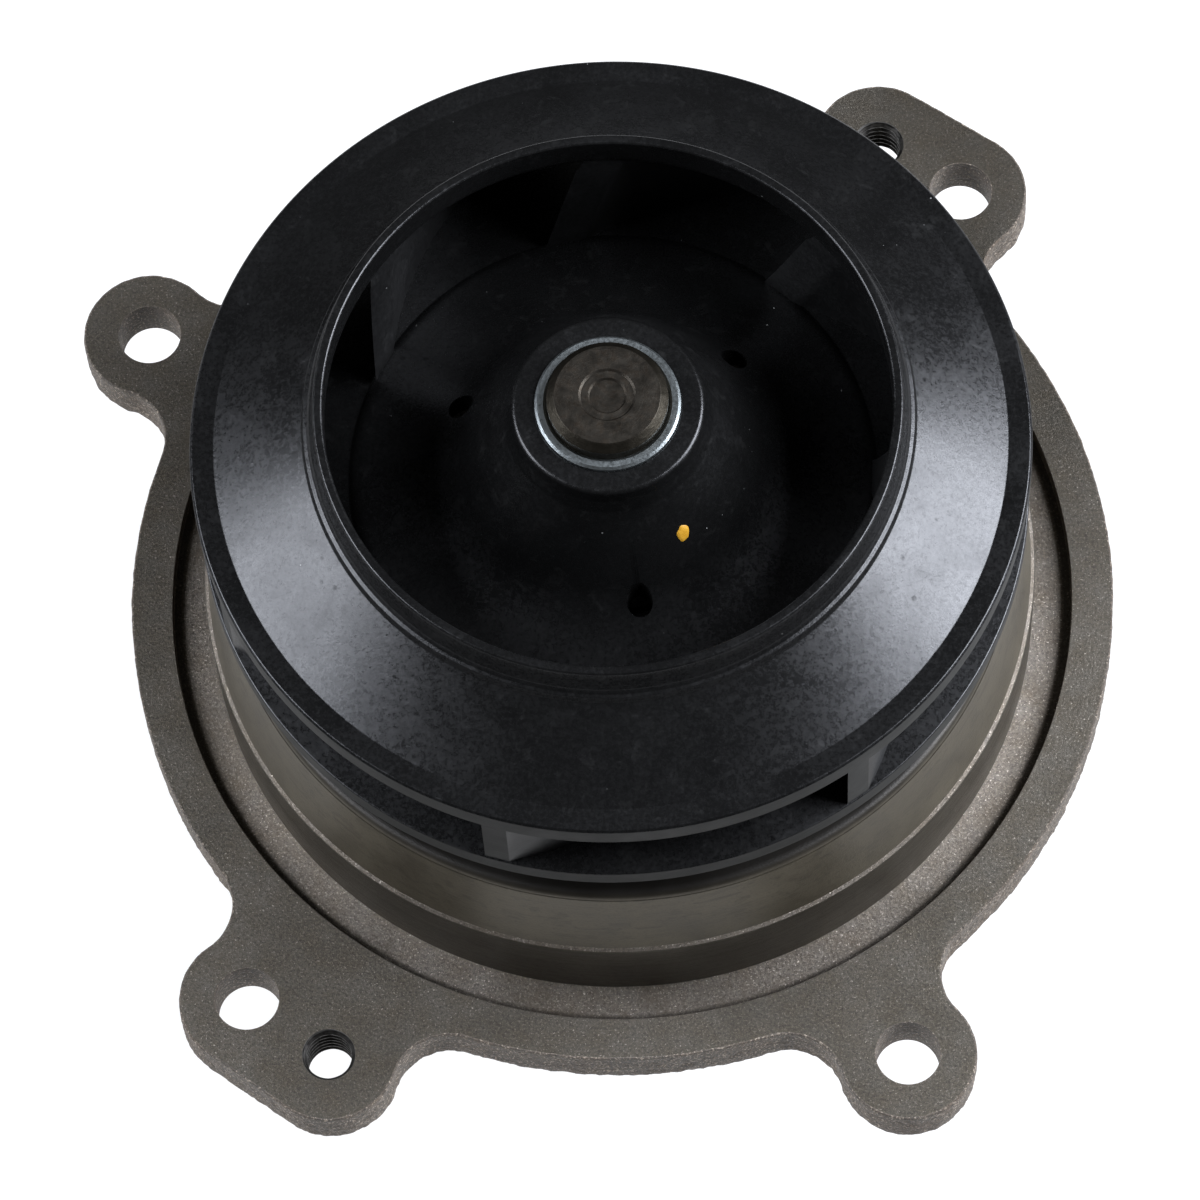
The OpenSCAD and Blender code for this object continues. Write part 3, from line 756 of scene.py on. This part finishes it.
def make_disc(materials):
    """The back plate with its hub, hollow behind, and its three balance holes."""
    build = Build()
    rear = [(IMPELLER_R, DISC_Z + 0.5), (IMPELLER_R - 0.5, DISC_Z), (34, DISC_Z), (34, 49.5),
            (28, 53), (24, 57.5), (19.5, 66), (17.5, 66), (17.5, DISC_Z - 1), (16.5, HUB_END_Z),
            (HUB_BORE_R, HUB_END_Z)]
    front = [(HUB_BORE_R, HUB_TOP), *DISC_FRONT]
    section = softened(front + rear, 0.3)
    build.lathe(section, 384, on_rim(section), closed=True)
    disc = build.mesh("impeller_back_plate", materials)
    cutter = Build()
    drill = [(0, DISC_Z), (BALANCE_HOLE_R, DISC_Z), (BALANCE_HOLE_R, 68), (0, 68)]
    for angle in BALANCE_ANGLES:
        cutter.lathe(drill, 48, centre=polar(BALANCE_R, angle))
    cut_away(disc, cutter.mesh("hole_cutter", []))
    return disc


def blade_section(u, side, inner_r):
    """Point on one side of a blade, u from 0 at its inner edge to 1 at its tip."""
    tip_r = IMPELLER_R - 0.3
    r = inner_r + (tip_r - inner_r) * u
    half = (BLADE_ROOT_T + (BLADE_TIP_T - BLADE_ROOT_T) * u) / 2
    lean = math.radians(BLADE_DEG)
    a = math.log(IMPELLER_R / r) / math.tan(lean) + side * half / (r * math.sin(lean))
    return r, math.radians(BLADE_TIP_ANGLE) + a


def make_blade(i, materials):
    """A blade that runs from inside the back plate to inside the shroud."""
    along = [k / 32 for k in range(33)]
    levels = [k / 10 for k in range(11)]
    turn = 2 * math.pi * i / BLADES
    rows = []
    for v in levels:
        inner_r = BLADE_INNER_R + BLADE_INNER_SLOPE * v
        row = []
        for side, steps in ((1, along), (-1, along[::-1])):
            for u in steps:
                r, a = blade_section(u, side, inner_r)
                low, high = height_at(DISC_FRONT, r) - 1.2, height_at(SHROUD_INNER[::-1], r) + 1.0
                row.append((r * math.cos(a + turn), r * math.sin(a + turn), low + (high - low) * v))
        rows.append(row)
    build = Build()
    build.grid(rows)
    wide = len(rows[0])
    tip = len(along) - 1
    build.slots = [TURNED if n % wide == tip else DULL for n in range(len(build.slots))]
    for base in (0, (len(rows) - 1) * wide):
        for k in range(len(along) - 1):
            build.faces.append([base + k, base + k + 1, base + wide - k - 2, base + wide - k - 1])
            build.slots.append(GLOSSY)
    return build.mesh(f"blade_{i + 1}", materials, sharp=40)


def make_shroud(materials):
    """The front ring: inner face, stepped neck, cone, flat land and turned rim."""
    neck = [(EYE_R, NECK_TOP - 0.3), (EYE_R + 0.3, NECK_TOP), (EYE_R + 1.4, NECK_TOP),
            (EYE_R + 1.7, NECK_TOP - 0.3), (48.8, 80), (49.2, 77.9), (49.7, 77.2), (50.3, 77), (50.6, 75.7)]
    rim = [(65.8, RIM_TOP), (IMPELLER_R - 0.4, RIM_TOP), (IMPELLER_R, RIM_TOP - 0.4)]
    build = Build()
    section = softened(SHROUD_INNER + neck + rim, 0.14)
    build.lathe(section, 512, on_rim(section), closed=True)
    return build.mesh("impeller_front_ring", materials)


def make_paint_dot(material):
    """A dab of marking paint on the hub's cone."""
    spot_r, spot_angle, dot_r = 21.5, -56.0, 1.25
    wide, tall, points = 0.88, 1.35, 40
    z = height_at(DISC_FRONT, spot_r)
    slope = (height_at(DISC_FRONT, spot_r + 1) - height_at(DISC_FRONT, spot_r - 1)) / 2
    outward = polar(1, spot_angle)
    centre = Vector((*polar(spot_r, spot_angle), z))
    normal = Vector((-slope * outward.x, -slope * outward.y, 1)).normalized()
    across = Vector((-outward.y, outward.x, 0))
    down = normal.cross(across)
    build = Build()
    rows = []
    for share, rise in ((1.0, -0.35), (0.98, -0.02), (0.85, 0.1), (0.5, 0.16), (0.02, 0.18)):
        row = []
        for k in range(points):
            a = 2 * math.pi * k / points
            r = dot_r * share * (1 + 0.12 * math.sin(2 * a + 0.6) + 0.05 * math.sin(5 * a))
            flat = across * wide * r * math.cos(a) + down * tall * r * math.sin(a)
            row.append(tuple(centre + flat + normal * rise))
        rows.append(row)
    build.grid(rows)
    top = (len(rows) - 1) * points
    build.faces += [list(range(points)), list(range(top + points - 1, top - 1, -1))]
    build.slots += [0, 0]
    return build.mesh("paint_dot", [material])


def joined(pieces, name):
    """One object out of several."""
    with bpy.context.temp_override(active_object=pieces[0], selected_editable_objects=pieces):
        bpy.ops.object.join()
    pieces[0].name = name
    return pieces[0]


# ---------- the object ----------

PLASTIC = [
    black_plastic("impeller_plastic"),
    turned_plastic("turned_rim"),
    black_plastic("dull_plastic", 0.46),
]
CAST = cast_iron("cast_skin")
IRON = [
    machined_iron("faced_iron", (0.12, 0.109, 0.091), 0.025, 0.9, 0.43, 0.45),
    CAST,
    drum_iron("drum_skin"),
    turned_iron("turned_iron"),
    # A lighter copy of the faced iron: its raised tone is painted light on the groove floor, in place of a
    # lamp from the upper left.
    machined_iron("groove_iron_painted_lighter", (0.2, 0.178, 0.152), 0.04, 0.92, 0.44, 0.82),
    thread_steel("thread_skin"),
]

housing = joined([make_housing(IRON), *(make_rib(i, CAST) for i in range(RIB_COUNT))], "housing_casting")
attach(housing, "stator")
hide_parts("housing")

disc = joined([make_disc(PLASTIC), *(make_blade(i, PLASTIC) for i in range(BLADES))], "impeller_back_plate")
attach(disc, "rotor")
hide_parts("impeller_disc")

shroud = make_shroud(PLASTIC)
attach(shroud, "rotor")
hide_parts("impeller_shroud")

dot = make_paint_dot(paint("marking_paint"))
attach(dot, "rotor")

STEEL = ground_steel("ground_steel", (0.5, 0.51, 0.52))
FINISHES = {
    "bearing_outer_ring": STEEL,
    "bearing_balls": STEEL,
    "bearing_rollers": STEEL,
    "ball_cage": ground_steel("cage_brass", (0.55, 0.38, 0.14), 0.35),
    "bearing_seal_front": soft_rubber("seal_rubber"),
    "retaining_ring": ground_steel("dark_steel", (0.12, 0.12, 0.13), 0.4),
    "seal_cup": ground_steel("stainless_sheet", (0.55, 0.56, 0.57), 0.22),
    "carbon_ring": soft_rubber("carbon"),
    "shaft": shaft_iron("shaft_steel"),
    "mating_ring": ground_steel("silicon_carbide", (0.2, 0.2, 0.21), 0.2),
    "impeller_insert": plated_steel("insert_steel", (0.46, 0.5, 0.5)),
    "pulley": coated_steel("pulley_coat"),
    "pulley_bolts": plated_steel("zinc_plate", (0.55, 0.56, 0.57), 0.3),
}
SAME_FINISH = {
    "roller_cage": "ball_cage",
    "bearing_seal_rear": "bearing_seal_front",
    "seal_bellows": "bearing_seal_front",
    "mating_boot": "bearing_seal_front",
    "seal_spring": "seal_cup",
    "slinger": "seal_cup",
    "drive_hub": "retaining_ring",
}
REBUILT = ("housing", "impeller_disc", "impeller_shroud")
for name, node in frame["nodes"].items():
    if name in REBUILT:
        continue
    node.data.materials.clear()
    node.data.materials.append(FINISHES[SAME_FINISH.get(name, name)])


# ---------- stage, light and camera, in metres ----------

FLOOR_HALF = 6.0
GLOW = 0.85
GLOW_FADE = (0.24, 0.7)
BOX_TINT = (0.86, 0.9, 1.0)
CAMERA_AT = (0.02967, -0.45393, 1.09608)
CAMERA_RIGHT = (0.99954, 0.0, -0.03046)
CAMERA_UP = (0.01162, 0.92435, 0.38136)
LENS_MM = 203.9
SENSOR_MM = 36.0


def make_floor():
    """A pale flat floor that glows round the pump's foot."""
    z = cad_box[0].z
    corners = [(x * FLOOR_HALF, y * FLOOR_HALF, z) for x, y in ((-1, -1), (1, -1), (1, 1), (-1, 1))]
    data = bpy.data.meshes.new("floor")
    data.from_pydata(corners, [], [(0, 1, 2, 3)])
    s = Surface("pale_floor", Roughness=0.9, Specular_IOR_Level=0.1)
    s.set("Base Color", s.mix(s.noise(300, 2), colour(0.19, 0.19, 0.19), colour(0.21, 0.21, 0.21)))
    s.set("Emission Color", colour(1, 1, 1))
    s.set("Emission Strength", s.ramp(s.radius(), *GLOW_FADE, GLOW, 0.0))
    data.materials.append(s.material)
    floor = bpy.data.objects.new("floor", data)
    bpy.context.scene.collection.objects.link(floor)


def make_softbox(name, position, size, power):
    """A rectangular lamp that faces the flange's centre."""
    data = bpy.data.lights.new(name, "AREA")
    data.shape = "RECTANGLE"
    data.size, data.size_y = size
    data.energy = power
    data.color = BOX_TINT
    lamp = bpy.data.objects.new(name, data)
    lamp.location = position
    lamp.rotation_euler = (-Vector(position)).to_track_quat("-Z", "Y").to_euler()
    bpy.context.scene.collection.objects.link(lamp)


def make_world(strength):
    world = bpy.data.worlds.new("studio")
    world.use_nodes = True
    world.node_tree.nodes["Background"].inputs["Color"].default_value = (1, 1, 1, 1)
    world.node_tree.nodes["Background"].inputs["Strength"].default_value = strength
    bpy.context.scene.world = world


def make_camera():
    """The photograph's camera, about 22 degrees off the shaft's axis and 1.2 m away."""
    right, up = Vector(CAMERA_RIGHT), Vector(CAMERA_UP)
    back = right.cross(up).normalized()
    right = up.cross(back).normalized()
    data = bpy.data.cameras.new("camera")
    data.sensor_width = SENSOR_MM
    data.lens = LENS_MM
    data.clip_start, data.clip_end = 0.05, 20.0
    camera = bpy.data.objects.new("camera", data)
    turn = Matrix((right, up, back)).transposed().to_4x4()
    camera.matrix_world = Matrix.Translation(Vector(CAMERA_AT)) @ turn
    bpy.context.scene.collection.objects.link(camera)
    bpy.context.scene.camera = camera


make_floor()
make_world(0.05)
make_softbox("left_box", (-1.14, -0.03, 0.91), (0.69, 0.9), 29)
make_softbox("right_box", (1.14, 0.11, 0.90), (0.87, 0.9), 60)
make_camera()
bpy.context.scene.view_settings.view_transform = "Standard"

bpy.context.view_layer.update()
